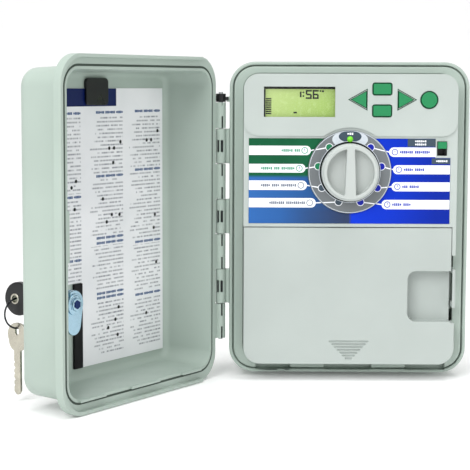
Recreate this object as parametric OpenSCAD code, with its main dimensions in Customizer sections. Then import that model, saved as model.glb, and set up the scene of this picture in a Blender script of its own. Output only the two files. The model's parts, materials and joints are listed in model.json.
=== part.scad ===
// Wall-mounted irrigation controller: a hinged plastic enclosure with a dial-operated timer inside.
// Origin at the centre of the flat back face that lies on the wall. +X is to the right, +Y points
// into the wall and +Z is up. Millimetres. The door is drawn open, on its left-hand hinge.

/* [Enclosure] */
// Width of the base across its rim
rim_w = 168; // [160:1:176]
// Height of the base across its rim
rim_h = 220; // [212:1:228]
// Depth of the base, from the wall to the plane of the rim
base_depth = 53; // [50:1:56]
// Depth of the door in front of the rim plane
door_depth = 40.5; // [40:0.5:44]
// Outer corner radius of the rim
rim_r = 18; // [16:1:20]
// Wall thickness of the mouldings
wall = 2.4; // [2:0.1:2.6]
// Step from the rim flange in to the body behind it
step_in = 4.4; // [4:0.1:4.8]
// Angle at which the door stands open
door_open = 123; // [0:1:165]

/* [Hinge] */
// Outer radius of the hinge knuckles
knuckle_r = 3.5; // [3.2:0.1:3.6]
// Radius of the hinge pin
pin_r = 1.5; // [1.3:0.1:1.6]
// Length of one knuckle along the pin
knuckle_pitch = 24.8; // [24:0.1:25]

/* [Lock] */
// Distance of the lock axis to the right of the centre line
lock_x = 56.5; // [55:0.5:57.5]
// Distance of the lock axis below the centre line
lock_drop = 45; // [43:0.5:47]
// Length of the cam from the lock axis to its tip
cam_reach = 19.9; // [17:0.1:20]

/* [Fascia] */
// How far the raised display panel stands in front of the rim plane
proud = 18; // [17:0.5:18.5]
// Radius of the programme dial
dial_r = 19.8; // [18.5:0.1:20]
// Height of the dial axis above the centre line
dial_z = 34; // [33:0.5:35]
// Travel of the push buttons
button_travel = 1; // [0.5:0.1:1]
// Travel of the sensor bypass switch
bypass_travel = 4.2; // [3:0.1:4.4]

/* [Wiring] */
// Radius of the smaller conduit opening
small_conduit_r = 11.2; // [10:0.1:12]
// Radius of the larger conduit opening
large_conduit_r = 14.1; // [13:0.1:15]
// Number of terminals on the terminal block
terminals = 10; // [8:1:10]

/* [Hidden] */
$fn = 48;

shell_color = [0.77, 0.81, 0.78];
panel_color = [0.80, 0.82, 0.82];
green_color = [0.18, 0.62, 0.37];
black_color = [0.05, 0.05, 0.06];
steel_color = [0.70, 0.71, 0.72];
board_color = [0.10, 0.38, 0.22];

eps = 0.01;
gap = 0.3;
running = 0.05;
rim_y = -base_depth;
half_w = rim_w / 2;
half_h = rim_h / 2;

// Base
flange_depth = 7;
body_half_w = half_w - step_in;
body_half_h = half_h - step_in;
body_r = rim_r - step_in;
ledge_t = 3.6;
opening_half_w = 74.1;
opening_half_h = 101.9;
opening_r = 11;
groove_out = half_w - 2.3;
groove_w = 1;
groove_depth = 4;
slot_ranges = [[-64.7, -40.5], [-16.2, 17.3], [41.6, 69.4]];
slot_top = -102;
slot_bottom = -108;
slot_depth = 6;
drain_x = -46.9;

// Hinge
hinge_x = -half_w - 6.2;
hinge_y = rim_y - gap;
hinge_top = 88.1;
knuckles = 7;
knuckle_gap = 0.4;
pin_bore_r = pin_r + running;
pin_top = hinge_top + 0.6;
pin_bottom = hinge_top - knuckles * knuckle_pitch - 0.8;
cap_bottom = 81.8;
cap_top = 87.6;

// Door
lip_out = 2.7;
lip_back = 3;
flange_back = 3;
door_half_w = body_half_w;
door_half_h = body_half_h;
door_draft = 1.3;
door_edge_r = 8;
door_in_edge_r = 4.5;
door_floor = door_depth - wall;
seal_out = 80.5;
seal_w = 1.5;
seal_depth = 1.8;
tab_inset = 1.3;
pad_x = 75.4;
pad_half_z = 16;

// Fascia
face_half_w = 74;
face_top = 101.6;
face_bottom = -4.4;
face_front = proud - 1.2;
face_wall = 2.2;
face_back = -3;
face_r = 10.5;
pod_bottom = 58.7;
dial_x = -0.5;
grip_top = 2.7;
grip_bottom = 4;
ring_r = 28.7;
led_r = 2.2;
led_up = 22.6;
label_x = [-70.6, 69.3];
label_z = [-2.2, 57.2];
label_notch_x = 58.9;
label_notch_z = 43.9;
window_x = [-60.2, -10.9];
window_z = [71.8, 92.7];
board_t = 2;
board_thick = 1.6;
board_front = board_t + board_thick;
flange_front = proud - 1.2 - face_wall - 0.3;
cap_front = proud + 1.2;
up_at = [21.4, 91.2];
down_at = [21.4, 76.2];
left_at = [5.6, 83.9];
right_at = [37.6, 83.9];
program_at = [53.8, 83.8];
bypass_at = [63.3, 50.3];
bypass_size = [6.4, 9.4];

// Wiring cover and lock
cover_left = -73.8;
cover_right = 73.6;
cover_step_x = 71;
cover_top = -5;
cover_bottom = -101.1;
cover_front = proud - 0.4;
cover_back = 4;
pocket_x = [40.8, 71];
pocket_z = [-70.7, -35.2];
pocket_floor = 7.5;
tab_z = -24.2;
lock_z = -lock_drop;
cam_t = [12.6, 14.6];
strike_x = [72, 74];
strike_z = [-61.1, -34.1];
cam_head_r = 8.9;
cam_tail_r = 6.4;
barrel_r = 9;
boss_r = 14;
plug_r = 6;
key_head_t = 58.4;
key_head_r = 11;
key_hole_t = 60.6;
key_thick = 2.4;
ring_mean_r = 9.8;
ring_wire_r = 0.6;
ring_turn = -15;
spare_z = lock_z - 2 * ring_mean_r;

// Wiring compartment
wall_t = 1 - base_depth;
wiring_t = -31;
block_x = [-62, 34];
block_z = [-48, -34];
transformer_at = [36, -24, 44];
conduit_y = -24;
small_conduit_x = -54;
large_conduit_x = -18;
plug_x = 12;
plug_hole_r = 5;
wall_hole_r = 2.6;
wall_hole_top_z = 70;
wall_hole_low_z = -84;
wall_hole_low_x = 62;
face_screw_x = 60;
face_screw_z = -9.5;

// ---- Shared shapes ----

// A rectangle with round corners, from true arcs
module rounded(w, h, r) {
    square([w - 2 * r, h], center = true);
    square([w, h - 2 * r], center = true);
    for (sx = [-1, 1], sy = [-1, 1])
        translate([sx * (w / 2 - r), sy * (h / 2 - r)]) circle(r);
}

// Stands a flat outline up in the XZ plane, between two distances in front of the rim plane
module upright(t0, t1) {
    translate([0, rim_y - t0, 0]) rotate([90, 0, 0]) linear_extrude(t1 - t0) children();
}

// A plate with round corners between two distances in front of the rim plane
module plate(w, h, r, t0, t1, x = 0, z = 0) {
    upright(t0, t1) translate([x, z]) rounded(w, h, r);
}

// A plain block given by its ranges in X, in distance from the rim plane and in Z
module block(xs, ts, zs) {
    translate([xs[0], rim_y - ts[1], zs[0]]) cube([xs[1] - xs[0], ts[1] - ts[0], zs[1] - zs[0]]);
}

// A round bar along Y
module bar(r, t0, t1, x, z) {
    upright(t0, t1) translate([x, z]) circle(r);
}

// A band of constant width just inside a round-cornered outline
module band(half_x, half_z, r, w, t0, t1) {
    upright(t0, t1) difference() {
        rounded(2 * half_x, 2 * half_z, r);
        rounded(2 * (half_x - w), 2 * (half_z - w), r - w);
    }
}

// Turns a piece of the door from closed to the angle at which it stands
module on_door() {
    translate([hinge_x, hinge_y, 0]) rotate([0, 0, -door_open]) translate([-hinge_x, -hinge_y, 0])
        children();
}

// Every second knuckle along the hinge, starting with the given one
module knuckle_row(first) {
    for (i = [first : 2 : knuckles - 1])
        translate([hinge_x, hinge_y, hinge_top - (i + 1) * knuckle_pitch + knuckle_gap / 2])
            children();
}

module knuckle_barrel() {
    cylinder(r = knuckle_r, h = knuckle_pitch - knuckle_gap);
}

// ---- Base ----

module back_housing() {
    knuckle_h = knuckle_pitch - knuckle_gap;
    color(shell_color) difference() {
        union() {
            difference() {
                union() {
                    plate(rim_w, rim_h, rim_r, -flange_depth, 0);
                    plate(2 * body_half_w, 2 * body_half_h, body_r, -base_depth, -flange_depth);
                }
                plate(2 * (body_half_w - wall), 2 * (body_half_h - wall), body_r - wall, wall - base_depth, -ledge_t);
                plate(2 * opening_half_w, 2 * opening_half_h, opening_r, -ledge_t - 1, 1);
                band(groove_out, half_h - 2.3, rim_r - 2.3, groove_w, -groove_depth, 1);
                for (s = slot_ranges)
                    block(s, [-slot_depth, 1], [slot_bottom, slot_top]);
                block([drain_x - 2, drain_x + 2], [-1.2, 1], [-half_h - 1, -half_h + 1.4]);
            }
            knuckle_row(1) {
                knuckle_barrel();
            }
            knuckle_row(1) translate([2.6, 0.7, 0]) cube([4, 3, knuckle_h]);
            // ear that the pin cap latches against
            translate([-half_w - 2.4, rim_y, 82]) cube([3, 3, 3.6]);
            // bracket that carries the strike, screw posts and board posts
            block([opening_half_w - 4, body_half_w - 1], [-7, -ledge_t], [strike_z[0] - 4, strike_z[1] + 4]);
            for (x = [-face_screw_x, face_screw_x])
                bar(4, wall_t, 3.6, x, face_screw_z);
            for (x = [block_x[0] - 1, block_x[1] + 1])
                bar(3.2, wall_t, wiring_t, x, block_z[0] - 8);
        }
        // hinge pin bores
        translate([hinge_x, hinge_y, pin_bottom]) cylinder(r = pin_bore_r, h = pin_top - pin_bottom);
        // coring slots in the front of each knuckle
        knuckle_row(1) for (x = [-1.9, 0.9])
            translate([x - 0.8, -knuckle_r - 0.1, 8]) cube([1.6, 1.5, 8.4]);
        // pilot holes for the fascia screws
        for (x = [-face_screw_x, face_screw_x])
            bar(1.3, -12, 5, x, face_screw_z);
        // wall screw holes
        bar(wall_hole_r, -base_depth - 1, wall_t + 2, 0, wall_hole_top_z);
        for (x = [-wall_hole_low_x, wall_hole_low_x])
            bar(wall_hole_r, -base_depth - 1, wall_t + 2, x, wall_hole_low_z);
        // conduit and sensor openings in the floor
        translate([small_conduit_x, conduit_y, -half_h]) cylinder(r = small_conduit_r, h = 12);
        translate([large_conduit_x, conduit_y, -half_h]) cylinder(r = large_conduit_r, h = 12);
        translate([plug_x, conduit_y, -half_h]) cylinder(r = plug_hole_r, h = 12);
    }
}

module hinge_pin() {
    color(steel_color) translate([hinge_x, hinge_y, pin_bottom])
        cylinder(r = pin_r, h = pin_top - pin_bottom);
}

// Moulded cap that holds the top of the pin and latches behind the base's ear
module hinge_pin_cap() {
    color(black_color) difference() {
        union() {
            translate([hinge_x, hinge_y, cap_bottom]) cylinder(r = knuckle_r, h = cap_top - cap_bottom);
            translate([hinge_x, hinge_y - 2, cap_bottom + 1.2]) cube([5.4, 2, 2.4]);
            translate([hinge_x - 4.5, hinge_y - 2.6, cap_bottom + 1]) cube([4, 2.4, 3.4]);
        }
        translate([hinge_x, hinge_y, cap_bottom - 1]) cylinder(r = pin_bore_r, h = 10);
    }
}

// ---- Fascia and its electronics ----

// Outline of the fascia, round at the top and square where the wiring cover meets it
module fascia_outline(inset = 0) {
    w = 2 * (face_half_w - inset);
    r = face_r - inset;
    top = face_top - inset;
    bottom = face_bottom + inset;
    translate([0, (top + bottom) / 2]) {
        rounded(w, top - bottom, r);
        translate([0, (bottom - top) / 2 + r]) square([w, 2 * r], center = true);
    }
}

// Outline of the raised display panel, cut round the dial ring
module pod_outline() {
    difference() {
        translate([0, (face_top + pod_bottom) / 2]) rounded(2 * face_half_w - 0.4, face_top - pod_bottom, face_r);
        translate([dial_x, dial_z]) circle(ring_r + 2);
    }
}

module round_button_outline(grow = 0) {
    circle(5.4 + grow);
}

module square_button_outline(grow = 0) {
    rounded(12.2 + 2 * grow, 7.2 + 2 * grow, 0.9 + grow);
}

// Points left; the corners are square so that the sides stay flat
module arrow_outline(grow = 0) {
    polygon([[-5.3 - 2 * grow, 0], [4.8 + grow, 5.6 + 1.6 * grow], [4.8 + grow, -5.6 - 1.6 * grow]]);
}

module place_button(at) {
    translate([at[0], at[1]]) children();
}

// All five button outlines in their places
module button_outlines(grow = 0) {
    place_button(up_at) square_button_outline(grow);
    place_button(down_at) square_button_outline(grow);
    place_button(left_at) arrow_outline(grow);
    place_button(right_at) mirror([1, 0]) arrow_outline(grow);
    place_button(program_at) round_button_outline(grow);
}

module range_outline(xs, zs, grow = 0) {
    translate([xs[0] - grow, zs[0] - grow]) square([xs[1] - xs[0] + 2 * grow, zs[1] - zs[0] + 2 * grow]);
}

module face_pack() {
    color(panel_color) difference() {
        union() {
            difference() {
                upright(face_back, face_front) fascia_outline();
                upright(face_back - 1, face_front - face_wall) fascia_outline(face_wall);
            }
            upright(face_front - eps, proud) pod_outline();
            // filler beside the wiring cover, and the lower tongue with its screw holes
            block([cover_step_x + 0.4, face_half_w], [face_back, face_front], [tab_z, face_bottom + 1]);
            block([-63.8, 63.8], [3.6, 5.6], [-14, face_bottom + 1]);
            for (x = [-66.2, 66.2], z = [8, 92])
                bar(2.6, board_front, face_front - 1, x, z);
        }
        upright(face_front - 0.4, proud) {
            difference() {
                translate([label_x[0], label_z[0]])
                    square([label_x[1] - label_x[0], label_z[1] - label_z[0]]);
                translate([label_notch_x, label_notch_z]) square(20);
            }
        }
        upright(0, proud + 1) {
            range_outline(window_x, window_z);
            button_outlines(0.4);
            translate(bypass_at) square(bypass_size + [0.6, 0.6], center = true);
        }
        bar(ring_r - 5, 0, proud + 1, dial_x, dial_z);
        bar(ring_r + 0.1, face_front - 1, proud + 1, dial_x, dial_z);
        bar(led_r + 0.3, 0, proud + 1, dial_x, dial_z + led_up);
        for (x = [-face_screw_x, face_screw_x])
            bar(1.9, 0, 9, x, face_screw_z);
    }
}

module dial_label() {
    color([0.15, 0.3, 0.7]) upright(face_front - 0.38, face_front) difference() {
        translate([label_x[0] + 0.2, label_z[0] + 0.2])
            square([label_x[1] - label_x[0] - 0.4, label_z[1] - label_z[0] - 0.4]);
        translate([label_notch_x - 0.2, label_notch_z - 0.2]) square(20);
        translate([dial_x, dial_z]) circle(ring_r + 0.3);
    }
}

module dial_ring() {
    color([0.40, 0.42, 0.43]) upright(face_front - 0.95, proud + 0.6) difference() {
        translate([dial_x, dial_z]) circle(ring_r - 0.1);
        translate([dial_x, dial_z]) circle(dial_r + 0.8);
        translate([dial_x, dial_z + led_up]) circle(led_r + 0.2);
    }
}

module lcd_window() {
    color([0.9, 0.95, 0.85, 0.4]) upright(face_front - face_wall - 1, face_front - face_wall - 0.05)
        range_outline(window_x, window_z, 2);
}

module lcd_panel() {
    color([0.74, 0.84, 0.55]) upright(10.8, 13.4) range_outline(window_x, window_z, 1.5);
}

module lcd_holder() {
    color([0.9, 0.9, 0.88]) upright(board_front, 10.7) difference() {
        range_outline(window_x, window_z, 1.5);
        range_outline(window_x, window_z, -1.5);
    }
}

module circuit_board() {
    color(board_color) upright(board_t, board_front - 0.05) difference() {
        translate([-69, 3]) square([138, 94]);
        translate([dial_x, dial_z]) circle(4);
    }
}

module rotary_switch() {
    color(black_color) difference() {
        union() {
            bar(11, board_front, 10, dial_x, dial_z);
            bar(5, 9, 14, dial_x, dial_z);
        }
        bar(3 + running, 0, 15, dial_x, dial_z);
    }
}

module tact_switches() {
    color(black_color) for (at = [up_at, down_at, left_at, right_at, program_at]) {
        block([at[0] - 3, at[0] + 3], [board_front, 7.1], [at[1] - 3, at[1] + 3]);
        bar(1.7, 7, flange_front - 1.7 - button_travel - gap, at[0], at[1]);
    }
}

module bypass_switch() {
    color(black_color) difference() {
        block([bypass_at[0] - 5, bypass_at[0] + 5], [board_front, 13.6], [bypass_at[1] - 7, bypass_at[1] + 7]);
        block([bypass_at[0] - 2.2, bypass_at[0] + 2.2], [8, 14], [bypass_at[1] - 6, bypass_at[1] + 6]);
    }
}

module run_led() {
    color([0.45, 0.8, 0.2]) {
        bar(led_r, board_front, proud, dial_x, dial_z + led_up);
        translate([dial_x, rim_y - proud, dial_z + led_up]) intersection() {
            sphere(led_r);
            translate([0, -led_r, 0]) cube(2 * led_r + eps, center = true);
        }
    }
}

module battery_holder() {
    color(black_color) difference() {
        bar(12.4, -4.6, board_t - 0.05, -44, 40);
        bar(10.2, -5, 0, -44, 40);
    }
}

module coin_battery() {
    color(steel_color) bar(10, -4.2, -1, -44, 40);
}

// Staple that the lock cam turns behind: a bar on two legs
module lock_strike() {
    color(panel_color) {
        block(strike_x, [15.3, 17.5], strike_z);
        for (z = [strike_z[0], strike_z[1] - 3])
            block(strike_x, [-ledge_t + eps, 15.4], [z, z + 3]);
    }
}

module face_pack_screws() {
    color(steel_color) for (x = [-face_screw_x, face_screw_x]) {
        bar(3.2, 5.65, 7.6, x, face_screw_z);
        bar(1.3, -11, 6, x, face_screw_z);
    }
}

// ---- Wiring compartment ----

module terminal_board() {
    color(board_color) block([block_x[0] - 6, block_x[1] + 6], [wiring_t + 0.02, wiring_t + 1.6],
        [block_z[0] - 12, block_z[1] + 8]);
}

module terminal_block() {
    pitch = (block_x[1] - block_x[0]) / terminals;
    color([0.15, 0.45, 0.28]) difference() {
        union() {
            block(block_x, [wiring_t + 1.65, -18], block_z);
            block([block_x[0], block_x[1]], [wiring_t + 1.65, -23], [block_z[0] - 5, block_z[1]]);
        }
        for (i = [0 : terminals - 1]) {
            x = block_x[0] + (i + 0.5) * pitch;
            bar(2.6, -25, -17, x, block_z[1] - 6);
            translate([x, rim_y + 26.5, block_z[0] - 6]) cylinder(r = 2.2, h = 7);
        }
    }
}

module terminal_screws() {
    pitch = (block_x[1] - block_x[0]) / terminals;
    color(steel_color) for (i = [0 : terminals - 1])
        difference() {
            bar(2.4, -24.9, -20.5, block_x[0] + (i + 0.5) * pitch, block_z[1] - 6);
            block([block_x[0] + (i + 0.5) * pitch - 2, block_x[0] + (i + 0.5) * pitch + 2], [-21.3, -20],
                [block_z[1] - 6.4, block_z[1] - 5.6]);
        }
}

module transformer_core() {
    color([0.45, 0.45, 0.47]) translate(transformer_at) difference() {
        cube([42, 14, 34], center = true);
        for (x = [-10.5, 10.5])
            translate([x, 0, 0]) cube([7, 16, 20], center = true);
    }
}

module transformer_coil() {
    color([0.85, 0.68, 0.2]) translate(transformer_at) difference() {
        cube([27.6, 27, 19.6], center = true);
        cube([14.2, 14.2, 21], center = true);
    }
}

// Strap round the core with two feet on the back wall
module transformer_bracket() {
    back = -wall - transformer_at[1];
    color(steel_color) translate(transformer_at) difference() {
        union() {
            for (s = [-1, 1])
                translate([s * 21.7 - 0.6, -7, -8]) cube([1.2, 7 + back - 0.02, 16]);
            for (s = [-1, 1])
                translate([s * 26 - 5, back - 1.22, -8]) cube([10, 1.2, 16]);
        }
        for (s = [-1, 1])
            translate([s * 27.5, back + 1, 0]) rotate([90, 0, 0]) cylinder(r = 1.8, h = 5);
    }
}

module transformer_screws() {
    back = -wall - transformer_at[1];
    color(steel_color) translate(transformer_at) for (s = [-1, 1])
        translate([s * 27.5, back, 0]) rotate([90, 0, 0]) {
            cylinder(r = 1.7, h = 1.4);
            translate([0, 0, 1.25]) cylinder(r = 3, h = 1.6);
        }
}

module sensor_hole_plug() {
    color([0.25, 0.27, 0.27]) translate([plug_x, conduit_y, -body_half_h]) {
        translate([0, 0, -1.5]) cylinder(r = plug_hole_r + 1.8, h = 1.48);
        translate([0, 0, -0.1]) cylinder(r = plug_hole_r - running, h = wall + 0.2);
        translate([0, 0, wall + 0.05]) cylinder(r = plug_hole_r + 0.4, h = 1);
    }
}

// Flat cable from the terminal board up to the circuit board
module ribbon_cable() {
    color([0.72, 0.72, 0.74]) {
        block([-50, -34], [-29.3, -28.5], [block_z[1] + 0.5, 20]);
        block([-50, -34], [-29.3, board_t - 0.05], [19.2, 20]);
    }
}

// ---- Wiring cover ----

module cover_outline(inset = 0) {
    r = 11.5 - inset;
    w = cover_right - cover_left - 2 * inset;
    h = cover_top - cover_bottom - 2 * inset;
    translate([(cover_left + cover_right) / 2, (cover_top + cover_bottom) / 2]) {
        rounded(w, h, r);
        translate([0, h / 2 - r]) square([w, 2 * r], center = true);
    }
}

module wiring_cover() {
    depth = cover_front - cover_back;
    color(panel_color) difference() {
        union() {
            difference() {
                upright(cover_back, cover_front) cover_outline();
                upright(cover_back - 1, cover_front - face_wall) cover_outline(face_wall);
                block([-65, 65], [cover_back - 1, 9.5], [-8, cover_top + 1]);
            }
            block([pocket_x[0] - face_wall, cover_step_x], [pocket_floor - face_wall, cover_front - 1],
                [pocket_z[0] - face_wall, pocket_z[1] + face_wall]);
            block([cover_step_x - face_wall, cover_step_x], [cover_back, cover_front - 1], [pocket_z[1], cover_top]);
        }
        // pocket that the cam and its nut turn in, open at the right-hand edge
        upright(pocket_floor, cover_front + 1) {
            translate([(pocket_x[0] + pocket_x[1] + 20) / 2, (pocket_z[0] + pocket_z[1]) / 2])
                rounded(pocket_x[1] - pocket_x[0] + 20, pocket_z[1] - pocket_z[0], 6);
        }
        // clearance for the strike along the upper right edge
        block([cover_step_x, cover_right + 1], [cover_back - 1, cover_front + 1], [pocket_z[0] - 1, cover_top + 1]);
        // grip ribs pointing down
        for (i = [0 : 6])
            block([-13.6 + i * 1.9, 13.6 - i * 1.9], [cover_front - 0.5, cover_front + 1],
                [-85.4 - i * 2, -84.6 - i * 2]);
    }
}

// ---- Door ----

// Profile of one corner of the door's body, turned about the corner's centre: straight drafted
// side, rounded edge and flat front, between two distances in front of the rim plane
function corner_profile(r0, r1, edge, t0, t1) = concat(
    [[0, t0], [r0, t0]],
    [for (a = [0 : 15 : 90]) [r1 - edge + edge * cos(a), t1 - edge + edge * sin(a)]],
    [[0, t1]]);

// Hull of four such corners: a drafted box with round edges
module drafted_box(hx, hz, r, edge, t0, t1) {
    hull()
        for (x = [-hx + r, hx - r], z = [-hz + r, hz - r])
            translate([x, rim_y, z]) rotate([90, 0, 0])
                rotate_extrude($fn = 32) polygon(corner_profile(r, r - door_draft, edge, t0, t1));
}

// Flange, drafted body and lock boss, hollowed from the back
module door_body() {
    difference() {
        union() {
            // flange with its rain lip, which laps over the base on three sides
            plate(rim_w + lip_out, rim_h + 2 * lip_out, rim_r + 1, -lip_back, flange_back, lip_out / 2);
            drafted_box(door_half_w, door_half_h, body_r, door_edge_r, flange_back - 0.5, door_depth);
            bar(boss_r, door_floor - 1.2, door_depth - 1, lock_x, lock_z);
        }
        // space for the base's rim inside the lip, open towards the hinge
        upright(-lip_back - 1, gap) {
            rounded(rim_w + 1.2, rim_h + 1.2, rim_r + 0.6);
            translate([-half_w, 0]) square([rim_w / 2, rim_h + 1.2], center = true);
        }
        // the lip stops short of the two corners beside the hinge
        upright(-lip_back - 1, 0)
            translate([-half_w, 0]) square([2 * rim_r + 4, rim_h + 2 * lip_out + 2], center = true);
        difference() {
            drafted_box(door_half_w - wall, door_half_h - wall, body_r - wall, door_in_edge_r, -1, door_floor);
            bar(boss_r, door_floor - 1.2, door_depth, lock_x, lock_z);
        }
        band(seal_out, seal_out + half_h - half_w, rim_r - (half_w - seal_out), seal_w, -1, gap + seal_depth);
    }
}

module door_shell() {
    knuckle_h = knuckle_pitch - knuckle_gap;
    color(shell_color) on_door() difference() {
        union() {
            door_body();
            knuckle_row(0) knuckle_barrel();
            knuckle_row(0) translate([2.4, -3.2, 0]) cube([4, 2.9, knuckle_h]);
            // pad inside the free edge, opposite the hinge
            block([pad_x, door_half_w - 1], [gap, 6], [-pad_half_z, pad_half_z]);
            // tabs that drop into the base's ledge slots
            for (s = slot_ranges)
                block([s[0] + tab_inset, s[1] - tab_inset], [-2.2, gap + 0.6], [slot_top - 2.7, slot_top - 1.4]);
        }
        bar(barrel_r + running, 20, door_depth + 1, lock_x, lock_z);
        translate([hinge_x, hinge_y, pin_bottom]) cylinder(r = pin_bore_r, h = pin_top - pin_bottom);
        // recess for the pin cap above the top knuckle
        translate([hinge_x - 6, hinge_y - 5, cap_bottom - gap]) cube([12, 10, 10]);
        // coring notches beside each knuckle
        knuckle_row(0) for (z = [0, knuckle_h - 8.4])
            translate([1.4, 2.2, z - eps]) cube([1.2, 2, 8.4 + 2 * eps]);
    }
}

module door_gasket() {
    color([0.12, 0.14, 0.13]) on_door()
        band(seal_out - 0.05, seal_out + half_h - half_w - 0.05, rim_r - (half_w - seal_out), seal_w - 0.1,
            gap + 0.2, gap + seal_depth - 0.05);
}

module instruction_card() {
    color([0.88, 0.89, 0.90]) on_door() difference() {
        block([-71.5, 67.5], [door_floor - 0.6, door_floor - 0.1], [-94, 91.2]);
        block([19, 70], [door_floor - 2, door_floor + 1], [-95, -37]);
        bar(boss_r + 0.5, door_floor - 2, door_floor + 1, lock_x, lock_z);
    }
}

module card_clip() {
    color(black_color) on_door() difference() {
        plate(23, 18, 3, door_floor - 2.6, door_floor - 0.1, 3.2, 89);
        block([-12, 18], [door_floor - 0.65, door_floor], [70, 91.4]);
    }
}

// Strip of foam that closes the gap beside the lock
module lock_foam() {
    color(black_color) on_door()
        block([19.4, 28], [door_floor - 2, door_floor - 0.1], [-94, -37.4]);
}

// ---- Lock and keys ----

module lock_barrel() {
    color(steel_color) on_door() difference() {
        union() {
            bar(barrel_r, cam_t[1] + 0.5, door_depth + 0.5, lock_x, lock_z);
            bar(barrel_r + 2.4, door_depth + 0.02, door_depth + 1.6, lock_x, lock_z);
        }
        bar(plug_r + running, cam_t[1], door_depth + 3, lock_x, lock_z);
    }
}

module lock_nut() {
    color(steel_color) on_door() difference() {
        upright(door_floor - 5.2, door_floor - 1.25)
            translate([lock_x, lock_z]) circle(r = 12.6, $fn = 6);
        bar(barrel_r + running, 10, door_depth, lock_x, lock_z);
    }
}

module lock_plug() {
    color(steel_color) on_door() difference() {
        union() {
            bar(plug_r, cam_t[1] + 0.05, door_depth + 1.6, lock_x, lock_z);
            block([lock_x - 3.2, lock_x + 3.2], [cam_t[0] - 1, cam_t[1] + 0.1], [lock_z - 3.2, lock_z + 3.2]);
        }
        // keyway
        block([lock_x - key_thick / 2 - 0.2, lock_x + key_thick / 2 + 0.2], [18, door_depth + 3],
            [lock_z - 4, lock_z + 4]);
    }
}

module lock_cam() {
    color([0.66, 0.72, 0.75]) on_door() difference() {
        upright(cam_t[0], cam_t[1]) translate([lock_x, lock_z]) {
            hull() {
                circle(cam_head_r);
                translate([0, cam_tail_r - cam_reach]) circle(cam_tail_r);
            }
        }
        block([lock_x - 3.25, lock_x + 3.25], [cam_t[0] - 1, cam_t[1] + 1], [lock_z - 3.25, lock_z + 3.25]);
        // stop notch
        block([lock_x + 3.6, lock_x + 9], [cam_t[0] - 1, cam_t[1] + 1], [lock_z + 4.4, lock_z + 9]);
    }
}

module cam_nut() {
    color(steel_color) on_door() difference() {
        union() {
            upright(cam_t[0] - 2.4, cam_t[0] - 1)
                translate([lock_x, lock_z]) circle(r = 4.4, $fn = 8);
            bar(6, cam_t[0] - 1.1, cam_t[0] - 0.05, lock_x, lock_z);
        }
        block([lock_x - 3.25, lock_x + 3.25], [cam_t[0] - 1.05, cam_t[0] + 1], [lock_z - 3.25, lock_z + 3.25]);
    }
}

// Blade of the key in the lock
module key_blade() {
    color(steel_color) on_door()
        block([lock_x - key_thick / 2, lock_x + key_thick / 2], [20, key_head_t - 4], [lock_z - 3.8, lock_z + 3.8]);
}

// Round plastic head, on edge, with an eyelet for the ring
module key_head() {
    color(black_color) on_door() difference() {
        translate([lock_x - 2.6, rim_y - key_head_t, lock_z]) rotate([0, 90, 0]) {
            cylinder(r = key_head_r, h = 5.2);
        }
        translate([lock_x - 4, rim_y - key_hole_t, lock_z]) rotate([0, 90, 0]) cylinder(r = 2.4, h = 8);
        block([lock_x - key_thick / 2 - 0.05, lock_x + key_thick / 2 + 0.05], [10, key_head_t - 3.9],
            [lock_z - 3.85, lock_z + 3.85]);
    }
}

// Wire ring through the eyelet, hanging round the lower edge of the head
module key_ring() {
    color([0.2, 0.2, 0.21]) on_door()
        translate([lock_x, rim_y - key_hole_t, lock_z - ring_mean_r]) rotate([90, 0, ring_turn])
            rotate_extrude($fn = 64) translate([ring_mean_r, 0]) circle(ring_wire_r, $fn = 16);
}

// Plain metal key hanging from the ring, flat to the door's side
module spare_key() {
    color([0.72, 0.70, 0.62]) on_door()
        translate([lock_x - 1, rim_y - key_hole_t, spare_z]) rotate([90, 0, 90]) linear_extrude(2) difference() {
            union() {
                translate([0, -4.4]) circle(8);
                translate([0, -8.6]) circle(7);
                polygon([[-2.7, -12], [-2.7, -41.8], [-0.8, -44], [0.8, -44], [2.7, -41.8], [2.7, -12]]);
            }
            translate([0, -0.6]) circle(1.5);
            translate([0, -3]) circle(1.5);
            translate([-1.45, -3]) square([2.9, 2.4]);
            // cuts along one edge of the blade
            for (i = [0 : 4])
                translate([-2.7, -22.5 - i * 3.8]) rotate(45) square(1 + 0.5 * (i % 2), center = true);
        }
}

// ---- Controls ----

module dial_knob() {
    face = proud + 12;
    color(panel_color) translate([dial_x, rim_y, dial_z]) rotate([90, 0, 0]) difference() {
        union() {
            translate([0, 0, proud + 0.9]) cylinder(r = dial_r, h = face - proud - 2.9);
            translate([0, 0, face - 2]) rotate_extrude() square([dial_r - 1.2, 2]);
        }
        // two hollows with a grip bar left standing between them
        translate([0, 0, proud + 5]) difference() {
            cylinder(r = 16.2, h = 20);
            translate([0, 0, -1]) linear_extrude(22)
                polygon([[-grip_top, 17], [grip_top, 17], [grip_bottom, -17], [-grip_bottom, -17]]);
        }
        cylinder(r = 3.05, h = proud + 4);
    }
}

module dial_shaft() {
    color(panel_color) bar(3, 6, proud + 3.9, dial_x, dial_z);
}

// Cap of a push button with the flange that keeps it behind the fascia
module push_button() {
    color(green_color) {
        upright(flange_front - 0.1, cap_front) children(0);
        upright(flange_front - 1.7, flange_front) children(1);
    }
}

module button_up() {
    push_button() {
        place_button(up_at) square_button_outline();
        place_button(up_at) square_button_outline(1);
    }
}

module button_down() {
    push_button() {
        place_button(down_at) square_button_outline();
        place_button(down_at) square_button_outline(1);
    }
}

module button_left() {
    push_button() {
        place_button(left_at) arrow_outline();
        place_button(left_at) arrow_outline(0.8);
    }
}

module button_right() {
    push_button() {
        place_button(right_at) mirror([1, 0]) arrow_outline();
        place_button(right_at) mirror([1, 0]) arrow_outline(0.8);
    }
}

module button_program() {
    push_button() {
        place_button(program_at) round_button_outline();
        place_button(program_at) round_button_outline(1);
    }
}

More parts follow.
